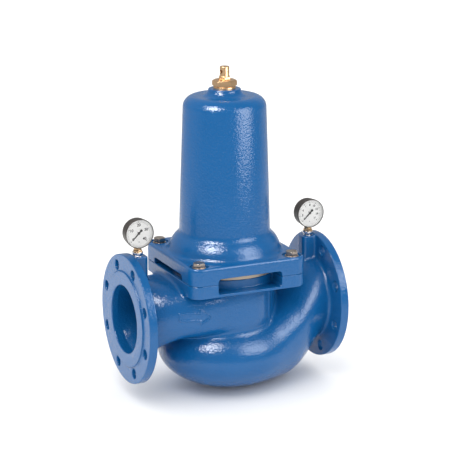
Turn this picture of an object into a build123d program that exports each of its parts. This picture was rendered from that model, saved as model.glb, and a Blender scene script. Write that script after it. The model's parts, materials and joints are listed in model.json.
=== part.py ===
from build123d import *
import math
import os

# Direct-acting, spring-loaded pressure reducing valve, DN 150 PN 16, flanged.
# The inlet flange's sealing face lies in the YZ plane, the pipe axis is the X axis and
# water flows towards +X. The spindle axis stands at half the face-to-face length.
# Pieces are modelled about the spindle axis, in millimetres, and moved there on export.
# The valve is drawn fully open: spring relaxed, stem low.

# Pipe flanges
FACE_TO_FACE = 480.0
FLANGE_R = 142.5
FLANGE_T = 22.0
RAISED_FACE_R = 106.0
RAISED_FACE_T = 3.0
BORE_R = 75.0
BOLT_CIRCLE_R = 120.0
FLANGE_BOLTS = 8
FLANGE_HOLE_R = 11.0
# The outlet holes are 0.25 mm larger in radius, so that they differ from the inlet holes on the same axes
OUTLET_HOLE_R = 11.25
HUB_R = 90.0
DUCT_MOUTH_R = 72.0

# Square joint between the body and the bonnet
SQUARE_HALF = 136.0
SQUARE_CORNER_R = 26.0
BODY_SQUARE_Z = 66.0
PARTING_Z = 94.0
BONNET_SQUARE_Z = 133.0
CORNER_BOLT = 110.0
CORNER_HOLE_R = 9.0
SPOT_FACE_Z = 129.0
SPOT_FACE_R = 20.0
BOLT_R = 8.0
# The front bolts end in blind holes; the rear bolts come out under the body's flange
FRONT_BOLT_END_Z = 70.0
REAR_BOLT_END_Z = 54.0
WINDOW_WIDTH = 150.0
WINDOW_FOOT_Z = 72.0
WINDOW_TOP_Z = 106.0

# Body chambers
CHAMBER_R = 112.0
CHAMBER_BORE_R = 100.0
PARTITION_TOP = -34.0
PARTITION_BOTTOM = -52.0
BOWL_Z = -91.0
BOWL_R = 150.0
BOWL_HALF_HEIGHT = 86.0
BOWL_WALL = 13.0
SEAT_R = 55.0
SEAT_RING_R = 68.0
SEAT_FACE_Z = -55.0

# Guide plate and diaphragm
PLATE_R = 115.0
PLATE_Z = 93.0
DIAPHRAGM_Z = 103.0
CLAMP_Z = 106.0
PAN_R = 88.0

# Bonnet
BONNET_R = 100.0
BONNET_TOP_R = 90.7
BONNET_SHOULDER_Z = 450.0
BONNET_CROWN_Z = 475.0
BONNET_ROOF_Z = 462.0
BOSS_TOP_Z = 490.0
BONNET_WALL = 9.0
RIB_R = 76.6
RIB_HALF_WIDTH = 5.0

# Moving parts
STEM_R = 11.0
CLEARANCE = 0.05
STROKE = 25.0
SPINDLE_R = 9.0
SPINDLE_TOP_Z = 538.0
SPRING_WIRE_R = 8.0
SPRING_R = 67.0
SPRING_FOOT_Z = 91.0
SPRING_HEAD_Z = 434.0
SPRING_TURNS = 9.5

# Pressure gauges, 63 mm size
GAUGE_X = 206.0
GAUGE_Z = 191.5
GAUGE_BOSS_Z = 139.0
GAUGE_POST_X = 204.0
GAUGE_POST = (34.0, 32.0)
GAUGE_TAPPING_R = 6.6
GAUGE_TAPPING_DEPTH = 17.0
TOOTH_MODULE = 0.25
PINION_TEETH = 14
SECTOR_TEETH = 112

HALF_LENGTH = FACE_TO_FACE / 2
FLANGE_BACK_X = HALF_LENGTH - FLANGE_T
STEM_BORE_R = STEM_R + CLEARANCE
RISING = (Align.CENTER, Align.CENTER, Align.MIN)
TO_Y = Rot(-90, 0, 0)
TO_X = Rot(0, 90, 0)


def disc(radius, low, high):
    """Solid cylinder on the spindle axis."""
    return Pos(0, 0, low) * Cylinder(radius, high - low, align=RISING)


def ring(outer, inner, low, high):
    """Ring on the spindle axis."""
    return disc(outer, low, high) - disc(inner, low - 1, high + 1)


def turned(*corners):
    """Solid turned about the spindle axis from (radius, height) corners."""
    return revolve(make_face(Plane.XZ * Polyline(*corners, close=True)), Axis.Z)


def hexagon(across_flats, low, high, turn=0.0, chamfer_low=False):
    """Hexagon bar on the spindle axis, with its top corners turned off."""
    corner_r = across_flats / math.sqrt(3)
    cut_r = across_flats * 0.475
    drop = (corner_r - cut_r) * math.tan(math.radians(30))
    outline = [(0, high), (cut_r, high), (corner_r, high - drop)]
    if chamfer_low:
        outline += [(corner_r, low + drop), (cut_r, low), (0, low)]
    else:
        outline += [(corner_r, low), (0, low)]
    bar = RegularPolygon(across_flats / 2, 6, major_radius=False, rotation=turn)
    return turned(*outline) & (Pos(0, 0, low) * extrude(bar, high - low))


def at_corners(piece):
    """Four copies of a piece, one at each corner bolt."""
    return [Pos(x, y, 0) * piece for x in (-CORNER_BOLT, CORNER_BOLT) for y in (-CORNER_BOLT, CORNER_BOLT)]


def corner_shanks(radius, deeper, high):
    """Cylinders on the four corner bolts' axes, reaching deeper than the bolts' ends by that much."""
    shanks = []
    for x in (-CORNER_BOLT, CORNER_BOLT):
        for y, end_z in ((-CORNER_BOLT, FRONT_BOLT_END_Z), (CORNER_BOLT, REAR_BOLT_END_Z)):
            shanks.append(Pos(x, y, 0) * disc(radius, end_z - deeper, high))
    return shanks


def torus_ring(major, minor, height):
    """O-ring lying flat on the spindle axis."""
    return Pos(0, 0, height) * Torus(major, minor)


def save(name, solids):
    """Write one node, moved so that the inlet face is at x = 0."""
    if not isinstance(solids, list):
        solids = [solids]
    placed = []
    for shape in solids:
        placed += (Pos(HALF_LENGTH, 0, 0) * shape).solids()
    export_step(Compound(children=placed) if len(placed) > 1 else placed[0], f"parts/{name}.step")


# ---------------------------------------------------------------- castings

def pipe_section(x, middle, half_width, half_height, power):
    """Rounded outline across the pipe at x: a circle at power 2, squarer above it."""
    points = []
    steps = 24
    for step in range(steps):
        angle = 2 * math.pi * (step + 0.5) / steps
        across = math.cos(angle)
        up = math.sin(angle)
        y = half_width * math.copysign(abs(across) ** (2 / power), across)
        z = middle + half_height * math.copysign(abs(up) ** (2 / power), up)
        points.append((x, y, z))
    return make_face(Spline(*points, periodic=True))


def duct(stations):
    """Solid lofted through the stations of a duct."""
    sections = []
    for x, low, high, half_width, power in stations:
        sections.append(pipe_section(x, (high + low) / 2, half_width, (high - low) / 2, power))
    return loft(sections)


# Stations along the ducts: x, underside, top, half width and squareness of the outline
INLET_OUTSIDE = [
    (-226, -HUB_R, HUB_R, HUB_R, 2.0),
    (-180, -66, 84, 97, 2.3),
    (-136, -47, 79, 106, 2.8),
    (-60, -46, 78, 111, 3.2),
]
INLET_INSIDE = [
    (-226, -DUCT_MOUTH_R, DUCT_MOUTH_R, DUCT_MOUTH_R, 2.0),
    (-180, -52, 70, 84, 2.2),
    (-136, -34, 65, 92, 2.6),
    (-60, -33, 64, 97, 3.0),
]
OUTLET_OUTSIDE = [
    (0, -168, -20, 138, 2.0),
    (60, -177, -20, 146, 2.0),
    (105, -177, -36, 134, 2.1),
    (150, -166, 14, 117, 2.1),
    (185, -130, 66, 102, 2.0),
    (206, -106, 86, 94, 2.0),
    (226, -HUB_R, HUB_R, HUB_R, 2.0),
]
OUTLET_INSIDE = [
    (0, -153, -30, 125, 2.0),
    (60, -164, -33, 133, 2.0),
    (105, -164, -49, 121, 2.1),
    (150, -152, 0, 103, 2.1),
    (185, -116, 52, 88, 2.0),
    (226, -DUCT_MOUTH_R, DUCT_MOUTH_R, DUCT_MOUTH_R, 2.0),
]


def pipe_flange(side):
    """Round pipe flange with a raised sealing face, on the inlet (-1) or outlet (+1) side."""
    plate = Cylinder(FLANGE_R, FLANGE_T - RAISED_FACE_T)
    plate = Pos(side * (FLANGE_BACK_X + (FLANGE_T - RAISED_FACE_T) / 2), 0, 0) * TO_X * plate
    face = Cylinder(RAISED_FACE_R, RAISED_FACE_T)
    face = Pos(side * (HALF_LENGTH - RAISED_FACE_T / 2), 0, 0) * TO_X * face
    return plate + face


def flange_holes(side):
    """Bolt holes of one pipe flange, straddling its centre lines."""
    hole_r = FLANGE_HOLE_R if side < 0 else OUTLET_HOLE_R
    holes = []
    for index in range(FLANGE_BOLTS):
        angle = 2 * math.pi * (index + 0.5) / FLANGE_BOLTS
        y = BOLT_CIRCLE_R * math.cos(angle)
        z = BOLT_CIRCLE_R * math.sin(angle)
        place = Pos(side * (FLANGE_BACK_X + FLANGE_T / 2), y, z)
        holes.append(place * TO_X * Cylinder(hole_r, 2 * FLANGE_T))
    return holes


def square_plate(low, high):
    """Rounded square flange plate between two heights."""
    outline = RectangleRounded(2 * SQUARE_HALF, 2 * SQUARE_HALF, SQUARE_CORNER_R)
    return Pos(0, 0, low) * extrude(outline, high - low)


def bowl(inset):
    """Lower chamber: a flattened ball."""
    ball = scale(Sphere(1), by=(BOWL_R - inset, BOWL_R - inset, BOWL_HALF_HEIGHT - inset))
    return Pos(0, 0, BOWL_Z) * ball


def gauge_boss(side):
    """Square post with rounded corners that carries a gauge, beside the pipe flange."""
    foot_z = 65
    post = extrude(RectangleRounded(*GAUGE_POST, 7), GAUGE_BOSS_Z - foot_z)
    return Pos(side * GAUGE_POST_X, 0, foot_z) * post


def body_outside():
    """Outer form of the body casting, before it is hollowed."""
    solid = bowl(0) + duct(OUTLET_OUTSIDE) + duct(INLET_OUTSIDE)
    solid += disc(CHAMBER_R, BOWL_Z, PARTING_Z - 2)
    for side in (-1, 1):
        name_pad = Box(126, 24, 62)
        solid += Pos(-21, side * (CHAMBER_R - 12), 21) * name_pad
        solid += pipe_flange(side) + gauge_boss(side)
    window = Pos(0, 0, WINDOW_FOOT_Z) * Box(WINDOW_WIDTH, 400, PARTING_Z - WINDOW_FOOT_Z, align=RISING)
    return solid + (square_plate(BODY_SQUARE_Z, PARTING_Z) - (window - disc(CHAMBER_R, 0, 200)))


def valve_body():
    """Cast body: pipe flanges, inlet duct, upper chamber, partition, bowl and outlet elbow."""
    solid = body_outside()
    for side in (-1, 1):
        solid -= Pos(side * (HALF_LENGTH - 9), 0, 0) * TO_X * Cylinder(BORE_R, 20)
        for hole in flange_holes(side):
            solid -= hole
        tapping = disc(GAUGE_TAPPING_R, GAUGE_BOSS_Z - GAUGE_TAPPING_DEPTH, GAUGE_BOSS_Z + 1)
        tapping += disc(3, BORE_R - 15, GAUGE_BOSS_Z)
        solid -= Pos(side * GAUGE_X, 0, 0) * tapping
    solid -= duct(INLET_INSIDE) + disc(CHAMBER_BORE_R, PARTITION_TOP, PARTING_Z + 1)
    above_partition = Pos(0, 0, PARTITION_BOTTOM) * Box(2 * CHAMBER_R, 400, 200, align=RISING)
    solid -= bowl(BOWL_WALL) + duct(OUTLET_INSIDE) - above_partition
    solid -= disc(PLATE_R + 0.5, PLATE_Z - 1, PARTING_Z + 1)
    solid -= disc(SEAT_RING_R + CLEARANCE, PARTITION_BOTTOM - 5, PARTITION_TOP + 5)
    for hole in corner_shanks(BOLT_R + CLEARANCE, 2, PARTING_Z + 10):
        solid -= hole
    return solid


def spring_bonnet():
    """Cast spring housing: square foot, swelling shoulder, long tapered barrel and boss."""
    shoulder_z = 117.9
    shoulder_offset = 60.3
    shoulder_r = 70.0
    foot_z = BONNET_SQUARE_Z - 5
    foot_r = shoulder_offset + math.sqrt(shoulder_r ** 2 - (foot_z - shoulder_z) ** 2)
    neck_z = shoulder_z + math.sqrt(shoulder_r ** 2 - (BONNET_R - shoulder_offset) ** 2)
    swell = math.radians(35)
    swell_at = (shoulder_offset + shoulder_r * math.cos(swell), shoulder_z + shoulder_r * math.sin(swell))
    round_r = BONNET_CROWN_Z - BONNET_SHOULDER_Z
    round_mid = round_r * (1 - math.sqrt(0.5))
    profile = Polyline((0, foot_z), (foot_r, foot_z))
    profile += ThreePointArc((foot_r, foot_z), swell_at, (BONNET_R, neck_z))
    profile += Line((BONNET_R, neck_z), (BONNET_TOP_R, BONNET_SHOULDER_Z))
    crown = (BONNET_TOP_R - round_mid, BONNET_CROWN_Z - round_mid)
    crown_end = (BONNET_TOP_R - round_r, BONNET_CROWN_Z)
    profile += ThreePointArc((BONNET_TOP_R, BONNET_SHOULDER_Z), crown, crown_end)
    profile += Polyline(crown_end, (46, 478), (38, 484), (34.6, BOSS_TOP_Z), (0, BOSS_TOP_Z), (0, foot_z))
    shell = revolve(make_face(Plane.XZ * profile), Axis.Z)
    foot = square_plate(PARTING_Z, BONNET_SQUARE_Z)
    foot = fillet(foot.edges().group_by(Axis.Z)[-1], 6)
    solid = foot + shell
    solid -= turned(
        (0, CLAMP_Z - 20),
        (PLATE_R + 0.5, CLAMP_Z - 20),
        (PLATE_R + 0.5, CLAMP_Z),
        (92, CLAMP_Z),
        (92, 165),
        (BONNET_R - BONNET_WALL, 185),
        (BONNET_TOP_R - BONNET_WALL, 445),
        (66, BONNET_ROOF_Z),
        (0, BONNET_ROOF_Z),
    )
    for turn in (0, 180):
        rib = Box(20, 2 * RIB_HALF_WIDTH, 98, align=(Align.MIN, Align.CENTER, Align.MIN))
        rib = (Pos(RIB_R, 0, 350) * rib) & disc(BONNET_TOP_R - 2, 340, 460)
        solid += Rot(0, 0, turn) * rib
    for across, turn, top in ((WINDOW_WIDTH, 0, WINDOW_TOP_Z), (WINDOW_WIDTH + 2, 90, WINDOW_TOP_Z + 1)):
        slot = Pos(0, 0, PARTING_Z) * Box(across, 400, top - PARTING_Z, align=RISING)
        solid -= Rot(0, 0, turn) * (slot - disc(PLATE_R + 0.4, 60, 120))
    solid -= disc(22 + CLEARANCE, BONNET_ROOF_Z - 5, BOSS_TOP_Z + 5)
    for tool in at_corners(disc(CORNER_HOLE_R, 80, 140) + disc(SPOT_FACE_R, SPOT_FACE_Z, 190)):
        solid -= tool
    return solid


# ---------------------------------------------------------------- joint between the castings

def bonnet_fasteners():
    """Hexagon bolts with washers, screwed into the body's square flange."""
    washer = ring(15, CORNER_HOLE_R, SPOT_FACE_Z, SPOT_FACE_Z + 2.5)
    head_z = SPOT_FACE_Z + 2.5
    heads = at_corners(hexagon(24, head_z, head_z + 10, turn=12))
    shanks = corner_shanks(BOLT_R, 0, head_z + 1)
    save("bonnet_bolts", [head + shank for head, shank in zip(heads, shanks)])
    save("bonnet_washers", at_corners(washer))


def guide_plate():
    """Brass plate clamped between the castings: rim, dished pan and central guide sleeve."""
    return turned(
        (SEAT_R, 20), (63, 20), (63, 62), (96, 62), (96, PLATE_Z), (PLATE_R, PLATE_Z),
        (PLATE_R, DIAPHRAGM_Z), (PAN_R, DIAPHRAGM_Z), (PAN_R, 70), (SEAT_R, 70),
    )


def diaphragm():
    """Moulded rubber diaphragm: flat clamped rim, sloping wall and flat floor."""
    return turned(
        (STEM_BORE_R, 78), (75, 78), (PAN_R - 1.5, DIAPHRAGM_Z), (PLATE_R, DIAPHRAGM_Z),
        (PLATE_R, CLAMP_Z), (85, CLAMP_Z), (73.5, 81), (STEM_BORE_R, 81),
    )


# ---------------------------------------------------------------- stem and closing parts

def valve_stem():
    """Stem with a drilling that leads outlet pressure up under the diaphragm."""
    stem = disc(STEM_R, -122, 128)
    stem = chamfer(stem.edges().group_by(Axis.Z)[0] + stem.edges().group_by(Axis.Z)[-1], 1)
    return stem - disc(4, -130, 58)


def stem_stack():
    """Everything that the stem carries, from the closing disc up to the spring seat."""
    seal_z = SEAT_FACE_Z - STROKE
    disc_z = seal_z - 8
    sensing_hole = Pos(0, 0, 56) * TO_X * Cylinder(3, 60)
    save("valve_stem", valve_stem() - sensing_hole)
    bottom_nut = hexagon(34, disc_z - 28, disc_z - 12, chamfer_low=True)
    save("stem_bottom_nut", bottom_nut - disc(STEM_BORE_R, -130, -90))
    save("valve_disc", ring(68, STEM_BORE_R, disc_z - 12, disc_z) + ring(68, 64.5, disc_z - 1, seal_z - 2))
    save("disc_seal", ring(64.4, 46, disc_z, seal_z))
    retainer = ring(45.9, STEM_BORE_R, disc_z, seal_z + 1) + ring(51, STEM_BORE_R, seal_z, seal_z + 6)
    save("disc_retainer", retainer)
    save("lower_spacer", ring(16, STEM_BORE_R, seal_z + 6, 26))
    piston = ring(SEAT_R - CLEARANCE, STEM_BORE_R, 26, 44)
    save("balance_piston", piston - ring(SEAT_R + 1, 51.9, 33.3, 36.7))
    save("piston_oring", torus_ring(53.45, 1.48, 35))
    save("upper_spacer", ring(16, STEM_BORE_R, 44, 72) - sensing_hole)
    save("diaphragm_lower_plate", ring(72, STEM_BORE_R, 72, 78))
    save("diaphragm", diaphragm())
    spring_seat = ring(72, STEM_BORE_R, 81, SPRING_FOOT_Z) + ring(56, STEM_BORE_R, SPRING_FOOT_Z - 1, 103)
    save("lower_spring_plate", spring_seat)
    save("stem_top_washer", ring(22, STEM_BORE_R, 103, 106))
    save("stem_top_nut", hexagon(34, 106, 122) - disc(STEM_BORE_R, 100, 130))


def seat_parts():
    """Renewable seat ring with its lip downwards, and the O-ring that seals it."""
    seat = turned(
        (SEAT_R, SEAT_FACE_Z), (60, SEAT_FACE_Z), (62, PARTITION_BOTTOM), (SEAT_RING_R, PARTITION_BOTTOM),
        (SEAT_RING_R, PARTITION_TOP),
        (74, PARTITION_TOP), (74, -30), (58, -30), (SEAT_R, -34),
    )
    save("seat_ring", seat - ring(70, 65.5, -45, -42))
    save("seat_ring_oring", torus_ring(66.75, 1.2, -43.5))


# ---------------------------------------------------------------- spring and its adjustment

def adjusting_spring():
    """Steel compression spring between the two spring plates."""
    low = SPRING_FOOT_Z + SPRING_WIRE_R + CLEARANCE
    height = SPRING_HEAD_Z - SPRING_WIRE_R - CLEARANCE - low
    path = Pos(0, 0, low) * Helix(height / SPRING_TURNS, height, SPRING_R)
    start = Plane(origin=path @ 0, z_dir=path % 0)
    return sweep(start * Circle(SPRING_WIRE_R), path=path)


def upper_spring_plate():
    """Threaded plate that the spindle screws down; notches slide on the bonnet's ribs."""
    plate = ring(78.5, SPINDLE_R + CLEARANCE, SPRING_HEAD_Z, 446)
    plate += ring(56, SPINDLE_R + CLEARANCE, 424, 435)
    plate += ring(26, SPINDLE_R + CLEARANCE, 406, 425)
    notch = Box(12, 2 * RIB_HALF_WIDTH + 0.4, 40, align=(Align.MIN, Align.CENTER, Align.CENTER))
    for turn in (0, 180):
        plate -= Rot(0, 0, turn) * Pos(RIB_R - 1, 0, 440) * notch
    return plate


def spindle_parts():
    """Adjusting spindle with its bush, thrust collar, cross pin, washer and O-ring."""
    hole_turn = 13
    head = disc(10.3, 515, SPINDLE_TOP_Z)
    head = chamfer(head.edges().group_by(Axis.Z)[-1], 1.2)
    spindle = disc(SPINDLE_R, 340, 511) + head + hexagon(24, 509.6, 516, turn=8)
    spindle -= Pos(0, 0, 527) * Rot(0, 0, hole_turn) * TO_X * Cylinder(4, 40)
    pin_hole = Pos(0, 0, 455) * TO_X * Cylinder(2.5, 60)
    save("adjusting_spindle", spindle - pin_hole)
    save("thrust_collar", ring(22, SPINDLE_R + CLEARANCE, 450, 460) - pin_hole)
    save("collar_pin", Pos(0, 0, 455) * TO_X * Cylinder(2.46, 43))
    save("thrust_washer", ring(24, SPINDLE_R + 0.5, 460, BONNET_ROOF_Z))
    bush = disc(22, BONNET_ROOF_Z, BOSS_TOP_Z) + disc(24.5, BOSS_TOP_Z, 497)
    bush += hexagon(47, 497, 509, turn=34, chamfer_low=True)
    bush -= disc(SPINDLE_R + CLEARANCE, 450, 520) + disc(11.7, 478.6, 481.4)
    save("spindle_bush", bush)
    save("spindle_oring", torus_ring(10.35, 1.23, 480))


# ---------------------------------------------------------------- pressure gauges

def across_dial(outer, inner, front, back):
    """Ring about the dial's axis, from its front y to its back y."""
    solid = Pos(0, front, 0) * TO_Y * Cylinder(outer, back - front, align=RISING)
    if inner > 0:
        solid -= Pos(0, front - 1, 0) * TO_Y * Cylinder(inner, back - front + 2, align=RISING)
    return solid


def cut_from_sheet(outline, front, back):
    """Flat piece parallel to the dial, from an outline in x and z."""
    return extrude(Plane.XZ.offset(-back) * outline, back - front)


def polar(radius, degrees, x=0.0, z=0.0):
    """Point at a radius and angle about (x, z), anticlockwise from +X as seen from the front."""
    angle = math.radians(degrees)
    return (x + radius * math.cos(angle), z + radius * math.sin(angle))


def tooth(pitch_r, at_degrees, x=0.0, z=0.0):
    """One short straight-sided gear tooth on a wheel centred at (x, z)."""
    half_pitch = math.pi * TOOTH_MODULE / 2
    wide = math.degrees(0.46 * half_pitch / pitch_r)
    narrow = math.degrees(0.2 * half_pitch / pitch_r)
    root = pitch_r - 1.3 * TOOTH_MODULE
    tip = pitch_r + 0.7 * TOOTH_MODULE
    corners = [(root, -1.3 * wide), (tip, -narrow), (tip, narrow), (root, 1.3 * wide)]
    points = [polar(radius, at_degrees + turn, x, z) for radius, turn in corners]
    return make_face(Polyline(*points, close=True))


PINION_R = TOOTH_MODULE * PINION_TEETH / 2
SECTOR_R = TOOTH_MODULE * SECTOR_TEETH / 2
MESH_DEG = 125.0
PIVOT = polar(PINION_R + SECTOR_R, MESH_DEG + 180)
TAIL = polar(6.0, -72.0, *PIVOT)
TUBE_TIP = polar(24.5, -29.0)
ARBOR_R = 0.8


def gauge_pinion():
    """Pointer arbor with its small pinion."""
    wheel = Circle(PINION_R - 1.2 * TOOTH_MODULE)
    for index in range(PINION_TEETH):
        wheel += tooth(PINION_R, MESH_DEG + 180 + 360 * index / PINION_TEETH)
    return across_dial(ARBOR_R, 0, -10.2, 4.4) + cut_from_sheet(wheel, -3.0, -0.6)


def gauge_sector():
    """Toothed sector on its arbor, with a tail that the link pulls."""
    first = 2
    last = -13
    pitch_deg = 360 / SECTOR_TEETH
    x, z = PIVOT
    low = MESH_DEG + (last - 0.5) * pitch_deg
    high = MESH_DEG + (first + 1.5) * pitch_deg
    root = SECTOR_R - 1.2 * TOOTH_MODULE
    rim = ThreePointArc(polar(root, low, x, z), polar(root, (low + high) / 2, x, z), polar(root, high, x, z))
    wedge = make_face(rim + Polyline(polar(root, high, x, z), PIVOT, polar(root, low, x, z)))
    for index in range(last, first + 1):
        wedge += tooth(SECTOR_R, MESH_DEG + (index + 0.5) * pitch_deg, x, z)
    outline = wedge + Pos(*PIVOT) * Circle(2.4)
    outline += make_hull((Pos(*PIVOT) * Circle(1.8)).edges() + (Pos(*TAIL) * Circle(1.5)).edges())
    outline -= Pos(*TAIL) * Circle(0.75)
    plate = cut_from_sheet(outline, -2.2, -1.0)
    arbor = Pos(x, 0, z) * (across_dial(ARBOR_R, 0, -6.5, 4.4) + across_dial(2.4, 0, -2.2, 0.5))
    return plate + arbor


def gauge_link():
    """Link from the sector's tail towards the tip of the Bourdon tube."""
    bar = make_hull((Pos(*TAIL) * Circle(1.5)).edges() + (Pos(*TUBE_TIP) * Circle(1.5)).edges())
    bar -= Pos(*TUBE_TIP) * Circle(0.6)
    rivet = Pos(TAIL[0], 0, TAIL[1]) * across_dial(0.7, 0, -3.2, -0.7)
    return cut_from_sheet(bar, -3.2, -2.4) + rivet


def movement_frame():
    """Two brass plates and two pillars that carry the arbors."""
    pillars = [(4.5, 5.0), (12.5, -8.5)]
    rounds = (Circle(4.5)).edges() + (Pos(*PIVOT) * Circle(3.5)).edges()
    for x, z in pillars + [(-3.5, -19), (3.5, -19)]:
        rounds += (Pos(x, z) * Circle(2.2)).edges()
    outline = make_hull(rounds) - Circle(ARBOR_R + CLEARANCE) - Pos(*PIVOT) * Circle(ARBOR_R + CLEARANCE)
    front = outline - [Pos(x, z) * Circle(0.75) for x, z in DIAL_SCREWS]
    frame = cut_from_sheet(front, -6.6, -5.6) + cut_from_sheet(outline, 3.5, 4.5)
    for x, z in pillars:
        frame += Pos(x, 0, z) * across_dial(1.2, 0, -6.0, 4.0)
    return frame


DIAL_SCREWS = [(-2.5, 2.6), (0.0, -19.5)]


def bourdon_tube():
    """Flattened C-shaped tube from the socket block round to its closed tip."""
    ring_face = Circle(26) - Circle(23)
    gap = [(0, 0), polar(60, -26), polar(60, -70), polar(60, -115), (0, 0)]
    tube = cut_from_sheet(ring_face - make_face(Polyline(*gap)), -2.0, 3.0)
    tip_box = Pos(*TUBE_TIP) * Rectangle(3, 3, rotation=-29)
    return tube + cut_from_sheet(tip_box, -2.0, 2.0)


def gauge_socket():
    """Brass socket: block inside the case, hexagon below it and a threaded end."""
    block = Pos(0, -1.05, -23.5) * Box(22, 8.9, 15)
    block -= Pos(11, -1.05, -25) * Box(12, 20, 20) + across_dial(26.1, 22.9, -2.1, 3.1)
    block &= across_dial(28.3, 0, -8, 8)
    below = Pos(0, 0, -GAUGE_Z) * (disc(5.5, 150, 166) + hexagon(14, 149, 159.5, turn=18, chamfer_low=True))
    thread = Pos(0, 0, -GAUGE_Z) * disc(4.9, 138, 150)
    return block + below + thread - Pos(0, 0, -GAUGE_Z) * disc(1.5, 130, 168)


def gauge(prefix, x):
    """All pieces of one pressure gauge standing on its boss at x."""
    place = Pos(x, 0, GAUGE_Z)
    stem_hole = Pos(0, 0, -GAUGE_Z) * disc(5.6, 155, 170)
    case = across_dial(30, 0, -8, 11) - across_dial(28.5, 0, -9, 9.5) - stem_hole
    save(f"{prefix}_case", place * case)
    bezel = across_dial(31.5, 27, -15, -13.5) + across_dial(31.5, 30.1, -14, -6)
    save(f"{prefix}_bezel", place * bezel)
    save(f"{prefix}_lens", place * across_dial(30, 0, -13.5, -11.5))
    dial = across_dial(28.2, 1.5, -8.6, -8.0)
    for screw_x, screw_z in DIAL_SCREWS:
        dial -= Pos(screw_x, 0, screw_z) * across_dial(0.8, 0, -9, -7)
    save(f"{prefix}_dial", place * dial)
    screw = across_dial(1.4, 0, -9.2, -8.6) + across_dial(0.7, 0, -9, -5.7)
    save(f"{prefix}_dial_screws", [place * Pos(sx, 0, sz) * screw for sx, sz in DIAL_SCREWS])
    hand = make_hull((Pos(*polar(19.5, 225)) * Circle(0.5)).edges() + Circle(1.3).edges())
    hand += make_hull((Pos(*polar(7.5, 45)) * Circle(2.4)).edges() + Circle(1.3).edges())
    pointer = cut_from_sheet(hand, -9.9, -9.4) + across_dial(2.4, 0, -10.4, -9.3)
    save(f"{prefix}_pointer", place * (pointer - across_dial(ARBOR_R + 0.02, 0, -10.2, -9)))
    save(f"{prefix}_pinion", place * gauge_pinion())
    save(f"{prefix}_sector", place * gauge_sector())
    save(f"{prefix}_link", place * gauge_link())
    save(f"{prefix}_movement_frame", place * movement_frame())
    save(f"{prefix}_bourdon_tube", place * bourdon_tube())
    save(f"{prefix}_socket", place * gauge_socket())
    adapter = disc(6.55, 124, 141.5) + hexagon(20, 140.5, 149, turn=25)
    adapter -= disc(4.95, 137, 160) + disc(2, 120, 150)
    save(f"{prefix}_adapter", Pos(x, 0, 0) * adapter)
    save(f"{prefix}_washer", Pos(x, 0, 0) * ring(11, 6.65, GAUGE_BOSS_Z, 140.5))


os.makedirs("parts", exist_ok=True)
save("valve_body", valve_body())
save("spring_bonnet", spring_bonnet())
bonnet_fasteners()
save("guide_plate", guide_plate())
save("guide_plate_gasket", ring(111.5, 101, PLATE_Z - 1, PLATE_Z))
stem_stack()
seat_parts()
save("adjusting_spring", adjusting_spring())
save("upper_spring_plate", upper_spring_plate())
spindle_parts()
gauge("inlet_gauge", -GAUGE_X)
gauge("outlet_gauge", GAUGE_X)
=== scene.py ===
import json
import math

import bmesh
import bpy
import numpy as np
from mathutils import Matrix, Vector


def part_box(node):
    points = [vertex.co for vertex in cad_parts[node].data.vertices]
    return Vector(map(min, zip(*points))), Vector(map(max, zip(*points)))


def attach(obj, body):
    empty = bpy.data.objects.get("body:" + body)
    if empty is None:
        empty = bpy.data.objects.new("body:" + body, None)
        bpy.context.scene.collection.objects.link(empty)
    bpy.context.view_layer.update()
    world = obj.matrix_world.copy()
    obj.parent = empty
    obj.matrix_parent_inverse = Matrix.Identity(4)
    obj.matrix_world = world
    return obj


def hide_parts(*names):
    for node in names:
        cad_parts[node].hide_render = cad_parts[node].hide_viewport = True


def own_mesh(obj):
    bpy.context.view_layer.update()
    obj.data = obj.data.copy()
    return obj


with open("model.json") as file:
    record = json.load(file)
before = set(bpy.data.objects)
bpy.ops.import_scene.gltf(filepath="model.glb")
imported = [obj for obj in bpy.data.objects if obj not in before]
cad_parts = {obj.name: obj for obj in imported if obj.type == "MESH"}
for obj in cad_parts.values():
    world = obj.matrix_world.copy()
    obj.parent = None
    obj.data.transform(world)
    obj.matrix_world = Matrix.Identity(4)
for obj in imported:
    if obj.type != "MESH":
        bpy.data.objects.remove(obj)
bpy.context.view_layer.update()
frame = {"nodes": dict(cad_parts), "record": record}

# ---------------------------------------------------------------- sizes and places
# Shapes are worked out in millimetres about the point where the pipe axis and the
# spindle axis cross; MM and CROSSING bring them to the frame's metres.
MM = 0.001
STEM_LOW, STEM_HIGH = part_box("valve_stem")
CROSSING = np.array(((STEM_LOW + STEM_HIGH).x / 2, 0.0, 0.0))
X, Z = 0, 2


def box_mm(node):
    """Lowest and highest corner of a CAD node, in millimetres about the crossing point."""
    low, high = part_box(node)
    return (np.array(low) - CROSSING) / MM, (np.array(high) - CROSSING) / MM


def span_mm(node, axis):
    """Where a CAD node begins and ends along an axis, to a tenth of a millimetre."""
    low, high = box_mm(node)
    return round(float(low[axis]), 1), round(float(high[axis]), 1)


BODY_LOW, BODY_HIGH = box_mm("valve_body")
BONNET_LOW, BONNET_HIGH = box_mm("spring_bonnet")
HALF_LENGTH = BODY_HIGH[X]
PARTING_Z = BONNET_LOW[Z]
BOSS_TOP_Z = BONNET_HIGH[Z]
SQUARE_HALF = BONNET_HIGH[X]
PLATE_R = box_mm("guide_plate")[1][X]
SPOT_FACE_Z, BOLT_HEAD_Z = span_mm("bonnet_washers", Z)
REAR_BOLT_END_Z, BOLT_TOP_Z = span_mm("bonnet_bolts", Z)
GAUGE_BOSS_Z = span_mm("outlet_gauge_washer", Z)[0]
GAUGE_X = sum(span_mm("outlet_gauge_bezel", X)) / 2
GAUGE_Z = sum(span_mm("outlet_gauge_bezel", Z)) / 2

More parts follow.
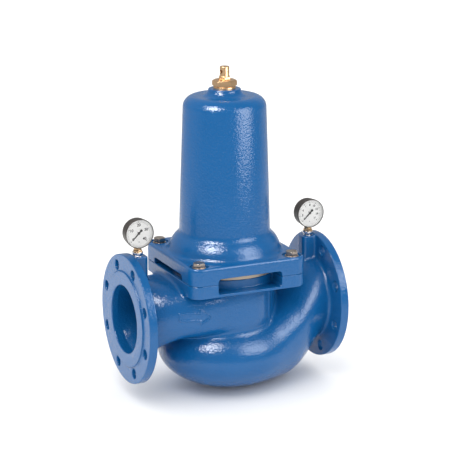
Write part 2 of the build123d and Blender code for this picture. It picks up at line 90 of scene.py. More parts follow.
# Pipe flanges, square joint and chambers, as in the CAD
FLANGE_R = 142.5
FLANGE_T = 22.0
RAISED_FACE_R = 106.0
RAISED_FACE_T = 3.0
BORE_R = 75.0
BOLT_CIRCLE_R = 120.0
INLET_HOLE_R = 11.0
OUTLET_HOLE_R = 11.25
HUB_R = 90.0
SQUARE_CORNER_R = 26.0
DECK_Z = 66.0
CORNER_BOLT = 110.0
BOLT_R = 8.0
CHAMBER_R = 112.0
CHAMBER_BORE_R = 100.0
PARTITION_TOP = -34.0
PARTITION_BOTTOM = -52.0
SEAT_RING_R = 68.0
# Radial gap between a round piece and its hole
GAP = 0.05


# ---------------------------------------------------------------- distance fields
# Each function gives the distance from the points x, y, z to a form's surface,
# negative inside.

def join(a, b, blend):
    """Union of two forms with a soft fillet."""
    share = np.clip(0.5 + 0.5 * (b - a) / blend, 0, 1)
    return b + (a - b) * share - blend * share * (1 - share)


def meet(a, b, blend):
    """What two forms share, with a rounded edge."""
    return -join(-a, -b, blend)


def cut(a, b, blend):
    """Form a with form b taken out, with a rounded edge."""
    return -join(-a, b, blend)


def rounded(flat, along, edge):
    """Solid of a flat distance and a distance along its height, with rounded edges."""
    flat = flat + edge
    along = along + edge
    outside = np.sqrt(np.maximum(flat, 0) ** 2 + np.maximum(along, 0) ** 2)
    return outside + np.minimum(np.maximum(flat, along), 0) - edge


def cylinder(across, up, height, radius, low, high, edge=1.0):
    """Cylinder with rounded ends; across and up are measured from its axis, height along it."""
    along = np.abs(height - (low + high) / 2) - (high - low) / 2
    return rounded(np.hypot(across, up) - radius, along, edge)


def square(x, y, half_x, half_y, corner):
    """Flat distance to a rectangle with round corners."""
    dx = np.abs(x) - half_x + corner
    dy = np.abs(y) - half_y + corner
    return np.hypot(np.maximum(dx, 0), np.maximum(dy, 0)) + np.minimum(np.maximum(dx, dy), 0) - corner


def block(x, y, z, half_x, half_y, corner, low, high, edge=1.0):
    """Upright block with round vertical corners."""
    along = np.abs(z - (low + high) / 2) - (high - low) / 2
    return rounded(square(x, y, half_x, half_y, corner), along, edge)


def ellipsoid(x, y, z, radii):
    """Ellipsoid about the origin, with its three radii."""
    inner = np.sqrt((x / radii[0]) ** 2 + (y / radii[1]) ** 2 + (z / radii[2]) ** 2)
    slope = np.sqrt((x / radii[0] ** 2) ** 2 + (y / radii[1] ** 2) ** 2 + (z / radii[2] ** 2) ** 2)
    return inner * (inner - 1) / np.maximum(slope, 1e-6)


def smooth_curve(places, values, x):
    """Value at x of a smooth curve through values at places."""
    places = np.asarray(places, float)
    values = np.asarray(values, float)
    slopes = np.gradient(values, places)
    spot = np.clip(np.searchsorted(places, x, side="right") - 1, 0, len(places) - 2)
    width = places[spot + 1] - places[spot]
    t = (x - places[spot]) / width
    return (
        values[spot] * (2 * t ** 3 - 3 * t ** 2 + 1)
        + slopes[spot] * width * (t ** 3 - 2 * t ** 2 + t)
        + values[spot + 1] * (3 * t ** 2 - 2 * t ** 3)
        + slopes[spot + 1] * width * (t ** 3 - t ** 2)
    )


def duct_through(*stations):
    """Field of a duct along X through (x, underside, widest height, top, half width, squareness) stations."""
    places = [station[0] for station in stations]
    first, last = places[0], places[-1]
    fine = np.arange(first, last + 0.25, 0.5)
    under, widest, top, half_width, squareness = (
        smooth_curve(places, [station[column] for station in stations], fine) for column in (1, 2, 3, 4, 5)
    )

    def field(x, y, z):
        at = np.clip(x, first, last)
        wide, above, below, centre, n = (
            np.interp(at, fine, column).astype(x.dtype)
            for column in (half_width, top - widest, widest - under, widest, squareness)
        )
        tall = np.where(z > centre, above, below)
        u = np.abs(y) / wide + 1e-6
        v = np.abs(z - centre) / tall + 1e-6
        u_part = u ** (n - 1)
        v_part = v ** (n - 1)
        reach = (u * u_part + v * v_part) ** (1 / n)
        slope = reach ** (1 - n) * np.hypot(u_part / wide, v_part / tall)
        distance = np.maximum((reach - 1) / slope, -np.minimum(wide, tall))
        return np.maximum(distance, np.maximum(first - x, x - last))

    return field


# ---------------------------------------------------------------- castings as fields

# Stations along the ducts: x, underside, widest height, top, half width, squareness
inlet_outside = duct_through(
    (-232, -HUB_R + 2, 0, HUB_R - 2, HUB_R - 2, 2.0),
    (-214, -HUB_R + 3, 0, HUB_R - 3, HUB_R - 2, 2.0),
    (-180, -66, 9, 84, 97, 2.3),
    (-136, -47, 16, 79, 106, 2.8),
    (-96, -44, 17, 78, 111, 3.2),
    (-50, -41, 18, 78, 113, 3.8),
    (0, -39, 19, 78, 113, 4.0),
    (32, -32, 22, 77, 112, 4.0),
    (48, -28, 24, 76, 106, 4.0),
    (62, -26, 24, 74, 90, 4.0),
)
inlet_inside = duct_through(
    (-226, -BORE_R, 0, BORE_R, BORE_R, 2.0),
    (-180, -52, 9, 70, 84, 2.2),
    (-136, -34, 15, 65, 92, 2.6),
    (-60, -33, 15, 64, 97, 3.0),
)
outlet_outside = duct_through(
    (-70, -138, -99, -60, 85, 2.0),
    (-20, -163, -100, -36, 122, 2.0),
    (30, -172, -93, -12, 140, 2.0),
    (60, -175, -88, -2, 136, 2.0),
    (88, -177, -78, 14, 129, 2.0),
    (110, -177, -66, 27, 124, 2.0),
    (131, -173.5, -52, 38, 119, 2.0),
    (149, -165, -38, 52, 114, 2.0),
    (166, -152, -23, 67, 107, 2.0),
    (182, -135, -9, 79, 100, 2.0),
    (196, -116, -3, 86, 95, 2.0),
    (208, -101, 0, 88, 92, 2.0),
    (232, -HUB_R, 0, HUB_R, HUB_R, 2.0),
)
outlet_inside = duct_through(
    (0, -163, -98, -33, 132, 2.0),
    (60, -164, -98, -33, 128, 2.0),
    (105, -164, -80, -25, 113, 2.0),
    (131, -160, -62, 4, 104, 2.0),
    (149, -152, -48, 24, 99, 2.0),
    (166, -139, -34, 42, 92, 2.0),
    (185, -116, -17, 58, 84, 2.0),
    (205, -86, -3, 72, 77, 2.0),
    (226, -BORE_R, 0, BORE_R, BORE_R, 2.0),
)
BOWL_Z = -91.0
BOWL_RADII = (150.0, 150.0, 86.0)
BOWL_INNER_RADII = (137.0, 137.0, 73.0)
# The front corner holes are blind, the rear ones go through
FRONT_HOLE_END_Z = 68.0
REAR_HOLE_END_Z = 40.0
GAUGE_POST_X = 204.0
GAUGE_POST_HALF_X = 17.0
GAUGE_POST_HALF_Y = 16.0
GAUGE_THREAD_R = 6.6
GAUGE_THREAD_DEPTH = 17.0
GAUGE_DRILL_R = 3.0
# Height at which a cut is clear of the body
CLEAR_Z = 160.0
# Slots round the guide plate, between the two castings
SLOT_HALF_WIDTH = 75.0
DECK_SLOT_Z = 98.0
DECK_SLOT_HALF_HEIGHT = 26.0


def around_corners(x, y):
    """Distance across from the nearest corner bolt's axis."""
    return np.hypot(np.abs(x) - CORNER_BOLT, np.abs(y) - CORNER_BOLT)


def pipe_flange(x, y, z, side):
    """Pipe flange with its raised face, at the inlet where side is -1 and at the outlet where it is 1."""
    out = side * x
    plate = cylinder(y, z, out, FLANGE_R, HALF_LENGTH - FLANGE_T, HALF_LENGTH - RAISED_FACE_T, 1.6)
    face = cylinder(y, z, out, RAISED_FACE_R, HALF_LENGTH - 12, HALF_LENGTH, 0.8)
    return join(plate, face, 1.5)


def flange_drillings(x, y, z, side):
    """Port and eight bolt holes of one pipe flange."""
    out = side * x
    port = cylinder(y, z, out, BORE_R, HALF_LENGTH - FLANGE_T, HALF_LENGTH + 20, 0.5)
    angle = np.arctan2(z, y)
    step = math.pi / 4
    folded = (angle % step) - step / 2
    reach = np.hypot(y, z)
    hole_r = INLET_HOLE_R if side < 0 else OUTLET_HOLE_R
    hole = np.hypot(reach * np.cos(folded) - BOLT_CIRCLE_R, reach * np.sin(folded)) - hole_r
    return port, np.maximum(hole, HALF_LENGTH - 60 - out)


ARROW = [(-152, 15), (-106, 10), (-105, 3), (-85, 16), (-106, 34), (-106, 27), (-152, 30)]
ARROW_HEIGHT = 1.6
ARROW_LINE = 1.8
FRONT_OF_DUCT_Y = -60.0


def flow_arrow(x, y, z):
    """Height of the raised outline of an arrow on the front of the inlet duct."""
    nearest = np.full_like(x, 1e3)
    for (ax, az), (bx, bz) in zip(ARROW, ARROW[1:] + ARROW[:1]):
        length = (bx - ax) ** 2 + (bz - az) ** 2
        t = np.clip(((x - ax) * (bx - ax) + (z - az) * (bz - az)) / length, 0, 1)
        nearest = np.minimum(nearest, np.hypot(x - ax - t * (bx - ax), z - az - t * (bz - az)))
    return np.where(y < FRONT_OF_DUCT_Y, ARROW_HEIGHT * np.clip(1.6 - nearest / ARROW_LINE, 0, 1), 0)


def body_field(x, y, z):
    """Outer form of the body casting."""
    bowl = ellipsoid(x, y, z - BOWL_Z, BOWL_RADII)
    d = join(bowl, outlet_outside(x, y, z), 18)
    chamber = cylinder(x, y, z, CHAMBER_R, BOWL_Z, PARTING_Z - 2, 1.5)
    upper = join(chamber, inlet_outside(x, y, z), 12)
    d = join(d, upper, 10)
    deck = block(x, y, z, SQUARE_HALF, SQUARE_HALF, SQUARE_CORNER_R, DECK_Z, PARTING_Z, 1.6)
    slot = square(x, z - DECK_SLOT_Z, SLOT_HALF_WIDTH, DECK_SLOT_HALF_HEIGHT, 6)
    deck = cut(deck, np.maximum(slot, CHAMBER_R - np.hypot(x, y)), 1.8)
    d = join(d, deck, 9)
    for side in (-1, 1):
        d = join(d, pipe_flange(x, y, z, side), 10)
        out = x - side * GAUGE_POST_X
        post = block(out, y, z, GAUGE_POST_HALF_X, GAUGE_POST_HALF_Y, 8, 60, GAUGE_BOSS_Z, 2)
        d = join(d, post, 7)
    return d - flow_arrow(x, y, z)


def body_hollow(x, y, z):
    """Everything cut out of the body casting."""
    upper = join(inlet_inside(x, y, z), cylinder(x, y, z, CHAMBER_BORE_R, PARTITION_TOP, CLEAR_Z, 2), 8)
    lower = join(ellipsoid(x, y, z - BOWL_Z, BOWL_INNER_RADII), outlet_inside(x, y, z), 12)
    above = block(x, y, z, CHAMBER_R, 400, 4, PARTITION_BOTTOM, 400, 3)
    d = np.minimum(upper, cut(lower, above, 6))
    d = np.minimum(d, cylinder(x, y, z, PLATE_R + 0.5, PARTING_Z - 2, CLEAR_Z, 0.2))
    d = np.minimum(d, cylinder(x, y, z, SEAT_RING_R + GAP, PARTITION_BOTTOM - 8, PARTITION_TOP + 8, 0.5))
    hole_end = np.where(y < 0, FRONT_HOLE_END_Z, REAR_HOLE_END_Z)
    d = np.minimum(d, np.maximum(around_corners(x, y) - BOLT_R - GAP, hole_end - z))
    for side in (-1, 1):
        port, holes = flange_drillings(x, y, z, side)
        d = np.minimum(d, np.minimum(port, holes))
        out = x - side * GAUGE_X
        thread_end = GAUGE_BOSS_Z - GAUGE_THREAD_DEPTH
        d = np.minimum(d, cylinder(out, y, z, GAUGE_THREAD_R, thread_end, CLEAR_Z + 40, 0.2))
        d = np.minimum(d, cylinder(out, y, z, GAUGE_DRILL_R, 60, CLEAR_Z + 40, 0.2))
    return d


def valve_body(x, y, z):
    return cut(body_field(x, y, z), body_hollow(x, y, z), 2.4)


# Barrel of the bonnet: a cone with a round crown
BARREL_Z = 187.0
BARREL_TOP_Z = 450.0
BARREL_R = 100.0
BARREL_TOP_R = 90.7
BARREL_LEAN = math.atan2(BARREL_R - BARREL_TOP_R, BARREL_TOP_Z - BARREL_Z)
CROWN_Z = 475.0
CROWN_EDGE = 24.0
BOSS_R = 34.6
# Shoulder: a drum under a cone of 45 degrees, whose point is at SHOULDER_POINT_Z
SHOULDER_R = 124.0
SHOULDER_POINT_Z = 275.0
SHOULDER_EDGE = 16.0
SKIRT_Z = 118.0
FOOT_TOP_Z = 133.0
CLAMP_Z = 106.0
SPOT_FACE_R = 20.0
CORNER_HOLE_R = 9.0
# Inside of the bonnet: radii at heights, the bush's hole and the two ribs that guide the spring plate
ROOF_Z = 462.0
ROOM_HEIGHTS = (CLAMP_Z, 165, 185, 445, ROOF_Z)
ROOM_RADII = (92, 92, 91, 81.7, 66)
BUSH_R = 22.0
RIB_R = 76.6
RIB_HALF_WIDTH = 5.0
RIB_FOOT_Z = 350.0
RIB_TOP_Z = 448.0
BONNET_SLOT_HALF_HEIGHT = 30.0
BONNET_SLOT_Z = 76.0


def bonnet_field(x, y, z):
    """Outer form of the spring bonnet."""
    r = np.hypot(x, y)
    cone = (r + z - SHOULDER_POINT_Z) / math.sqrt(2)
    shoulder = np.maximum(meet(cone, r - SHOULDER_R, SHOULDER_EDGE), SKIRT_Z - z)
    wall = (r - BARREL_R + math.tan(BARREL_LEAN) * (z - BARREL_Z)) * math.cos(BARREL_LEAN)
    barrel = np.maximum(rounded(wall, z - CROWN_Z, CROWN_EDGE), SKIRT_Z - z)
    d = join(shoulder, barrel, 5.5)
    d = join(d, cylinder(x, y, z, BOSS_R, 400, BOSS_TOP_Z, 1.6), 20)
    foot = square(x, y, SQUARE_HALF, SQUARE_HALF, SQUARE_CORNER_R)
    foot = meet(meet(foot, z - FOOT_TOP_Z, 7), PARTING_Z - z, 1.8)
    return join(d, foot, 11)


def bonnet_hollow(x, y, z):
    """Everything cut out of the spring bonnet."""
    r = np.hypot(x, y)
    room_r = np.interp(z, ROOM_HEIGHTS, ROOM_RADII).astype(x.dtype)
    room = np.maximum(r - room_r, z - ROOF_Z)
    rib = np.maximum(np.abs(y) - RIB_HALF_WIDTH, RIB_R - np.abs(x))
    rib = np.maximum(rib, np.maximum(RIB_FOOT_Z - z, z - RIB_TOP_Z))
    d = np.maximum(room, -rib)
    d = np.minimum(d, np.maximum(r - PLATE_R - 0.5, z - CLAMP_Z))
    d = np.minimum(d, np.maximum(r - BUSH_R - GAP, ROOF_Z - 5 - z))
    front = square(x, z - BONNET_SLOT_Z, SLOT_HALF_WIDTH, BONNET_SLOT_HALF_HEIGHT, 7)
    sides = square(y, z - BONNET_SLOT_Z - 1, SLOT_HALF_WIDTH + 1, BONNET_SLOT_HALF_HEIGHT, 7)
    d = np.minimum(d, np.maximum(np.minimum(front, sides), PLATE_R + 0.4 - r))
    corner = around_corners(x, y)
    d = np.minimum(d, np.maximum(corner - SPOT_FACE_R, SPOT_FACE_Z - z))
    return np.minimum(d, corner - CORNER_HOLE_R)


def spring_bonnet(x, y, z):
    return cut(bonnet_field(x, y, z), bonnet_hollow(x, y, z), 2.0)


# ---------------------------------------------------------------- surfaces from fields

def corner_values(field, low, counts, step):
    """Field values on a grid, worked out in slabs to save memory."""
    values = np.empty(counts, np.float32)
    ys = (low[1] + step * np.arange(counts[1])).astype(np.float32)
    zs = (low[2] + step * np.arange(counts[2])).astype(np.float32)
    y, z = np.meshgrid(ys, zs, indexing="ij")
    slab = 8
    for first in range(0, counts[0], slab):
        xs = (low[0] + step * np.arange(first, min(first + slab, counts[0]))).astype(np.float32)
        shape = (len(xs),) + y.shape
        x = np.broadcast_to(xs[:, None, None], shape)
        values[first:first + len(xs)] = field(x, np.broadcast_to(y, shape), np.broadcast_to(z, shape))
    return values


def net(field, low, high, step):
    """Closed quad mesh of a field's surface: one point per cell that the surface crosses."""
    low = np.asarray(low, float)
    counts = tuple(int(n) for n in np.ceil((np.asarray(high, float) - low) / step) + 1)
    values = corner_values(field, low, counts, step)
    inside = values < 0
    cells = np.zeros(tuple(n - 1 for n in counts), np.uint8)
    corners = [(i, j, k) for i in (0, 1) for j in (0, 1) for k in (0, 1)]
    for i, j, k in corners:
        cells += inside[i:counts[0] - 1 + i, j:counts[1] - 1 + j, k:counts[2] - 1 + k]
    spots = np.argwhere((cells > 0) & (cells < 8))
    index = np.full(cells.shape, -1, np.int32)
    index[tuple(spots.T)] = np.arange(len(spots))
    total = np.zeros((len(spots), 3))
    crossings = np.zeros(len(spots))
    for start in corners:
        for axis in range(3):
            if start[axis]:
                continue
            end = list(start)
            end[axis] = 1
            a = values[tuple((spots + start).T)]
            b = values[tuple((spots + end).T)]
            crossed = (a < 0) != (b < 0)
            point = np.tile(np.array(start, float), (len(spots), 1))
            point[:, axis] = a / np.where(crossed, a - b, 1)
            total[crossed] += point[crossed]
            crossings += crossed
    points = low + step * (spots + total / crossings[:, None])
    quads = []
    for axis in range(3):
        u, v = (axis + 1) % 3, (axis + 2) % 3
        start = [slice(1, -1)] * 3
        start[axis] = slice(0, -1)
        end = list(start)
        end[axis] = slice(1, None)
        one, other = inside[tuple(start)], inside[tuple(end)]
        for leaving in (True, False):
            found = np.argwhere((one & ~other) if leaving else (other & ~one))
            found += [0 if n == axis else 1 for n in range(3)]
            ring = []
            for du, dv in ((-1, -1), (0, -1), (0, 0), (-1, 0)):
                cell = found.copy()
                cell[:, u] += du
                cell[:, v] += dv
                ring.append(index[tuple(cell.T)])
            quads.append(np.stack(ring if leaving else ring[::-1], 1))
    return points, np.concatenate(quads)


def value_and_slope(field, points, reach=0.05):
    """Value and gradient of a field at points, from four samples round each."""
    value = np.zeros(len(points))
    slope = np.zeros(points.shape)
    for corner in ((1, -1, -1), (-1, -1, 1), (-1, 1, -1), (1, 1, 1)):
        away = np.array(corner, float)
        sample = field(*(points + reach * away).T)
        value += sample / 4
        slope += away * (sample / (4 * reach))[:, None]
    return value, slope


def settle(field, points, rounds=2, limit=0.8):
    """Moves points onto the field's surface."""
    for _ in range(rounds):
        value, slope = value_and_slope(field, points)
        move = -slope * (value / np.maximum((slope ** 2).sum(1), 1e-4))[:, None]
        size = np.linalg.norm(move, axis=1)
        points = points + move * np.minimum(1, limit / np.maximum(size, 1e-9))[:, None]
    return points


# ---------------------------------------------------------------- meshes

def to_metres(points):
    return np.asarray(points, float) * MM + CROSSING


def mesh_from(name, points, faces):
    """Mesh with smooth faces, from points in metres and faces with one number of corners."""
    faces = np.asarray(faces, np.int32)
    sides = faces.shape[1]
    mesh = bpy.data.meshes.new(name)
    mesh.vertices.add(len(points))
    mesh.vertices.foreach_set("co", np.asarray(points, np.float32).ravel())
    mesh.loops.add(faces.size)
    mesh.loops.foreach_set("vertex_index", faces.ravel())
    mesh.polygons.add(len(faces))
    mesh.polygons.foreach_set("loop_start", np.arange(0, faces.size, sides, dtype=np.int32))
    mesh.update(calc_edges=True)
    mesh.shade_smooth()
    return mesh


def add_object(name, mesh):
    thing = bpy.data.objects.new(name, mesh)
    bpy.context.scene.collection.objects.link(thing)
    return thing


def points_of(mesh):
    points = np.empty(3 * len(mesh.vertices))
    mesh.vertices.foreach_get("co", points)
    return points.reshape(-1, 3)


def thinned(thing, share):
    """Replaces an object's mesh by one with about that share of its triangles."""
    thinner = thing.modifiers.new("thin", "DECIMATE")
    thinner.ratio = share
    graph = bpy.context.evaluated_depsgraph_get()
    mesh = bpy.data.meshes.new_from_object(thing.evaluated_get(graph))
    thing.modifiers.clear()
    old = thing.data
    thing.data = mesh
    bpy.data.meshes.remove(old)
    mesh.name = thing.name


def formed(name, field, low, high, step, most):
    """Object with a field's surface, of at most that many triangles, shaded by the field's slope."""
    reach = 2 * step
    points, quads = net(field, np.asarray(low) - reach, np.asarray(high) + reach, step)
    points = settle(field, points)
    thing = add_object(name, mesh_from(name, to_metres(points), quads))
    if 2 * len(quads) > most:
        thinned(thing, most / (2 * len(quads)))
    mesh = thing.data
    points = settle(field, (points_of(mesh) - CROSSING) / MM, 1, 0.3)
    mesh.vertices.foreach_set("co", to_metres(points).astype(np.float32).ravel())
    slope = value_and_slope(field, points, 0.2 * step)[1]
    normals = slope / np.maximum(np.linalg.norm(slope, axis=1), 1e-9)[:, None]
    mesh.shade_smooth()
    mesh.normals_split_custom_set_from_vertices(normals.tolist())
    return thing


STEPS = 96
ANGLES = 2 * math.pi * np.arange(STEPS) / STEPS


def corner_row(radius, height):
    """One corner of a turned outline, at every step round the axis."""
    row = np.empty((STEPS, 2))
    row[:, 0] = radius
    row[:, 1] = height
    return row


def eased(corners, ease):
    """Turned outline with its corners rounded; ease is the distance cut back from each corner."""
    rows = [corner_row(*corner) for corner in corners]
    eases = ease if isinstance(ease, (list, tuple)) else [ease] * len(rows)
    out = []
    for index, row in enumerate(rows):
        before = rows[index - 1] - row
        after = rows[(index + 1) % len(rows)] - row
        back = np.linalg.norm(before, axis=1)[:, None]
        ahead = np.linalg.norm(after, axis=1)[:, None]
        on_axis = (row[:, 0] < 1e-6).all()
        if eases[index] <= 0 or on_axis or back.min() < 1e-6 or ahead.min() < 1e-6:
            out.append(row)
            continue
        start = row + before / back * np.minimum(eases[index], 0.45 * back)
        end = row + after / ahead * np.minimum(eases[index], 0.45 * ahead)
        for t in (0, 0.25, 0.5, 0.75, 1):
            out.append((1 - t) ** 2 * start + 2 * t * (1 - t) * row + t ** 2 * end)
    return out


def turned(name, corners, ease=0.3, place=(0, 0, 0), dial=False):
    """Closed solid of revolution. Each corner is (radius, height), or (radius, y) for dial pieces.

    Radius and height may hold one value per step round the axis, as for a hexagon.
    """
    rows = np.stack(eased(corners, ease))
    radius, height = rows[..., 0], rows[..., 1]
    across, up = radius * np.cos(ANGLES), radius * np.sin(ANGLES)
    points = np.stack((across, height, up) if dial else (across, up, height), -1) + np.asarray(place, float)
    count = len(rows)
    ring_index, step_index = np.meshgrid(np.arange(count), np.arange(STEPS), indexing="ij")
    next_ring, next_step = (ring_index + 1) % count, (step_index + 1) % STEPS
    quads = np.stack(
        (
            ring_index * STEPS + step_index,
            ring_index * STEPS + next_step,
            next_ring * STEPS + next_step,
            next_ring * STEPS + step_index,
        ),
        -1,
    ).reshape(-1, 4)
    mesh = mesh_from(name, to_metres(points.reshape(-1, 3)), quads)
    clean(mesh)
    return add_object(name, mesh)


def clean(mesh, sharp=40):
    """Merges doubled points, turns faces outwards and marks sharp edges."""
    work = bmesh.new()
    work.from_mesh(mesh)
    bmesh.ops.remove_doubles(work, verts=work.verts, dist=2e-6)
    bmesh.ops.dissolve_degenerate(work, edges=work.edges, dist=1e-6)
    bmesh.ops.recalc_face_normals(work, faces=work.faces)
    work.to_mesh(mesh)
    work.free()
    mesh.shade_smooth()
    mesh.set_sharp_from_angle(angle=math.radians(sharp))


def hexagon(across_flats, turn):
    """Radius of a hexagon at every step round the axis, with one corner at the angle turn."""
    sixth = math.pi / 3
    folded = (ANGLES - math.radians(turn)) % sixth - sixth / 2
    return across_flats / 2 / np.cos(folded)


def hex_top(across_flats, turn, z, side=1):
    """Corners of the chamfered end of a hexagon bar, from its side to its end face at height z."""
    reach = hexagon(across_flats, turn)
    cut_r = across_flats * 0.485
    drop = np.maximum(reach - cut_r, 0) * math.tan(math.radians(30))
    return [(reach, z - side * drop), (cut_r, z)]


def joined(name, things):
    """One object from several."""
    work = bmesh.new()
    for thing in things:
        work.from_mesh(thing.data)
        bpy.data.objects.remove(thing)
    mesh = bpy.data.meshes.new(name)
    work.to_mesh(mesh)
    work.free()
    mesh.shade_smooth()
    mesh.set_sharp_from_angle(angle=math.radians(40))
    return add_object(name, mesh)


# ---------------------------------------------------------------- finishes

def finish_of(name, color, metallic, roughness, bump=0.0, bump_size=0.01, wear=0.06):
    """Procedural finish: slightly uneven colour and roughness, and a fine bump of bump_size metres."""
    material = bpy.data.materials.new(name)
    material.use_nodes = True
    tree = material.node_tree
    shader = tree.nodes["Principled BSDF"]
    shader.inputs["Metallic"].default_value = metallic
    place = tree.nodes.new("ShaderNodeTexCoord")
    cloud = tree.nodes.new("ShaderNodeTexNoise")
    cloud.inputs["Scale"].default_value = 22
    cloud.inputs["Detail"].default_value = 5
    tree.links.new(place.outputs["Object"], cloud.inputs["Vector"])
    mix = tree.nodes.new("ShaderNodeMix")
    mix.data_type = "RGBA"
    mix.inputs["A"].default_value = [c * (1 - wear) for c in color] + [1]
    mix.inputs["B"].default_value = [min(1, c * (1 + wear)) for c in color] + [1]
    tree.links.new(cloud.outputs["Fac"], mix.inputs["Factor"])
    tree.links.new(mix.outputs["Result"], shader.inputs["Base Color"])
    spread = tree.nodes.new("ShaderNodeMapRange")
    spread.inputs["To Min"].default_value = roughness * 0.85
    spread.inputs["To Max"].default_value = roughness * 1.15
    tree.links.new(cloud.outputs["Fac"], spread.inputs["Value"])
    tree.links.new(spread.outputs["Result"], shader.inputs["Roughness"])
    if bump:
        grain = tree.nodes.new("ShaderNodeTexNoise")
        grain.inputs["Scale"].default_value = 1 / bump_size
        grain.inputs["Detail"].default_value = 2
        tree.links.new(place.outputs["Object"], grain.inputs["Vector"])
        relief = tree.nodes.new("ShaderNodeBump")
        relief.inputs["Strength"].default_value = 1
        relief.inputs["Distance"].default_value = bump
        tree.links.new(grain.outputs["Fac"], relief.inputs["Height"])
        tree.links.new(relief.outputs["Normal"], shader.inputs["Normal"])
    return material


def glass_finish():
    """Thin clear window: mostly seen through, with a faint reflection."""
    material = bpy.data.materials.new("clear_window")
    material.use_nodes = True
    tree = material.node_tree
    tree.nodes.clear()
    out = tree.nodes.new("ShaderNodeOutputMaterial")
    through = tree.nodes.new("ShaderNodeBsdfTransparent")
    gloss = tree.nodes.new("ShaderNodeBsdfGlossy")
    gloss.inputs["Roughness"].default_value = 0.03
    facing = tree.nodes.new("ShaderNodeFresnel")
    facing.inputs["IOR"].default_value = 1.3
    mix = tree.nodes.new("ShaderNodeMixShader")
    tree.links.new(facing.outputs["Fac"], mix.inputs["Fac"])
    tree.links.new(through.outputs["BSDF"], mix.inputs[1])
    tree.links.new(gloss.outputs["BSDF"], mix.inputs[2])
    tree.links.new(mix.outputs["Shader"], out.inputs["Surface"])
    return material


FINISHES = {
    "blue_paint": finish_of("blue_paint", (0.0045, 0.099, 0.290), 0.0, 0.16, 0.0009, 0.0042, 0.05),
    "brass": finish_of("brass", (0.68, 0.45, 0.25), 1.0, 0.36, 0.00004, 0.002),
    "bronze": finish_of("bronze", (0.50, 0.41, 0.32), 1.0, 0.38, 0.0001, 0.002),
    "passivated_steel": finish_of("passivated_steel", (0.42, 0.36, 0.31), 1.0, 0.28, 0.00004, 0.002),
    "spring_steel": finish_of("spring_steel", (0.10, 0.105, 0.11), 0.9, 0.42, 0.0001, 0.003),
    "rubber": finish_of("rubber", (0.018, 0.018, 0.019), 0.0, 0.6, 0.00008, 0.002),
    "gauge_case": finish_of("gauge_case", (0.060, 0.052, 0.046), 0.35, 0.36, 0.00003, 0.002),
    "chrome": finish_of("chrome", (0.82, 0.80, 0.80), 1.0, 0.14),
    "glass": glass_finish(),
    "dial_white": finish_of("dial_white", (0.90, 0.90, 0.89), 0.0, 0.5, wear=0.01),
    "pointer_black": finish_of("pointer_black", (0.012, 0.012, 0.013), 0.0, 0.4),
    "stainless": finish_of("stainless", (0.56, 0.57, 0.58), 1.0, 0.26, 0.00004, 0.002),
    "plain_steel": finish_of("plain_steel", (0.36, 0.36, 0.36), 1.0, 0.4, 0.00006, 0.002),
}


def finished(thing, slot_name, body, *nodes):
    """Gives a piece its finish and body, and lets it stand for CAD nodes."""
    thing.data.materials.clear()
    thing.data.materials.append(FINISHES[slot_name])
    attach(thing, body)
    if nodes:
        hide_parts(*nodes)
    return thing


# ---------------------------------------------------------------- castings

CASTING_STEP = 2.0
BODY_TRIANGLES = 190000
BONNET_TRIANGLES = 150000
body = formed("valve_body_casting", valve_body, BODY_LOW, BODY_HIGH, CASTING_STEP, BODY_TRIANGLES)
finished(body, "blue_paint", "housing", "valve_body")
bonnet = formed(
    "spring_bonnet_casting", spring_bonnet, BONNET_LOW, BONNET_HIGH, CASTING_STEP, BONNET_TRIANGLES
)
finished(bonnet, "blue_paint", "housing", "spring_bonnet")


# ---------------------------------------------------------------- bolts of the bonnet joint

WASHER_R = 15.0
FRONT_BOLT_END_Z = 70.0
BOLT_FLATS = 23.8
BOLT_TURN = 11.25
BOLT_THREAD_R = 7.9
# How far the thread reaches above the bolt's end
BOLT_THREAD_REACH = 26.7


def thread(radius, low, high, pitch=2.0, depth=0.7):
    """Corners of a threaded outline from low to high."""
    corners = []
    for index in range(int((high - low) / pitch)):
        z = low + index * pitch
        corners += [(radius - depth, z), (radius, z + 0.5 * pitch)]
    return corners


def corner_set(name, make):
    """Four copies of a piece, one at each corner bolt, as one object."""
    copies = []
    for x in (-CORNER_BOLT, CORNER_BOLT):
        for y in (-CORNER_BOLT, CORNER_BOLT):
            copies += make((x, y, 0))
    return joined(name, copies)


def bolt(place):
    end = FRONT_BOLT_END_Z if place[1] < 0 else REAR_BOLT_END_Z
    head = [(0, BOLT_HEAD_Z), (hexagon(BOLT_FLATS, BOLT_TURN), BOLT_HEAD_Z)]
    head += hex_top(BOLT_FLATS, BOLT_TURN, BOLT_TOP_Z)
    head += [(8.4, BOLT_TOP_Z), (8.0, BOLT_TOP_Z - 0.4), (0, BOLT_TOP_Z - 0.4)]
    shank = [(0, end), (6.6, end)] + thread(BOLT_THREAD_R, end + 0.7, end + BOLT_THREAD_REACH)
    shank += [(BOLT_THREAD_R, BOLT_HEAD_Z + 0.5), (0, BOLT_HEAD_Z + 0.5)]
    return [turned("head", head, 0.25, place), turned("shank", shank, 0.1, place)]


def washer(place):
    corners = [(CORNER_HOLE_R, SPOT_FACE_Z), (WASHER_R, SPOT_FACE_Z)]
    corners += [(WASHER_R, BOLT_HEAD_Z), (CORNER_HOLE_R, BOLT_HEAD_Z)]
    return [turned("washer", corners, 0.4, place)]


finished(corner_set("bolts", bolt), "passivated_steel", "housing", "bonnet_bolts")
finished(corner_set("washers", washer), "passivated_steel", "housing", "bonnet_washers")


# ---------------------------------------------------------------- adjusting spindle and bush

SPINDLE_R = 9.0
SPINDLE_FOOT_Z, SPINDLE_TOP_Z = span_mm("adjusting_spindle", Z)
THREAD_LEAD = 4.0
THREAD_END_Z = 432.0
THREAD_DEPTH = 0.9
